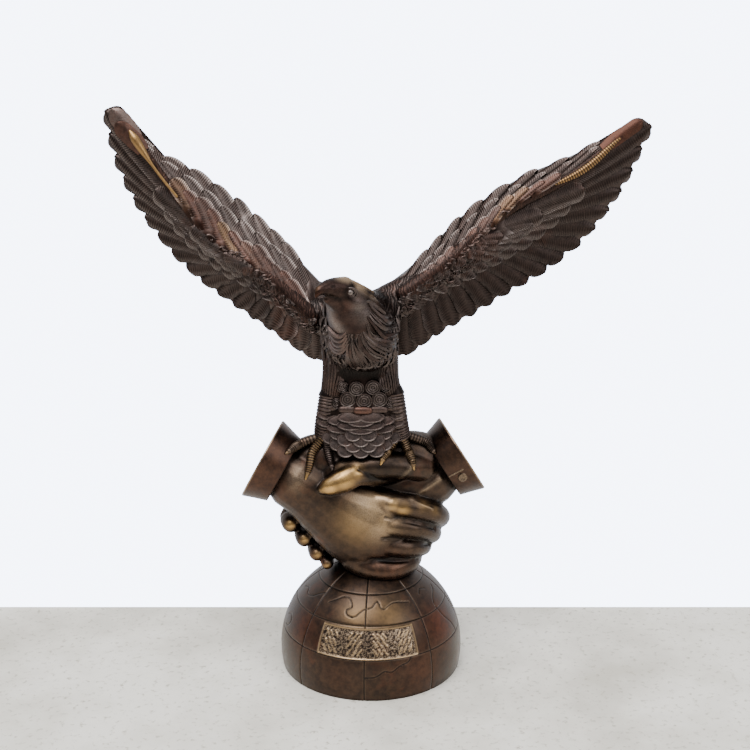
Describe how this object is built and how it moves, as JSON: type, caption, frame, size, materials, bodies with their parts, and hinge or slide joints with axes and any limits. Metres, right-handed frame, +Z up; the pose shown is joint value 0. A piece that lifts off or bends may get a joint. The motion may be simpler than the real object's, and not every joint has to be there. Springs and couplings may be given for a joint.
{
  "type": "eagle statue",
  "caption": "Cast copper statue of an eagle with raised wings, landing on two clasped hands above a half globe.",
  "frame": {"origin": "centre of the globe's flat round underside", "axes": "+X to the viewer's right along the wings, +Y away from the viewer, +Z up"},
  "size_m": [0.5042, 0.178, 0.539],
  "materials": {
    "globe_copper": "brown patina, polished where it bulges",
    "hands_copper": "brown patina, rubbed to gold on the high spots",
    "eagle_copper": "dark brown patina over a cast, chased surface"
  },
  "bodies": {
    "root": {"globe_base": "globe_copper", "clasped_hands": "hands_copper", "eagle": "eagle_copper"}
  },
  "joints": []
}
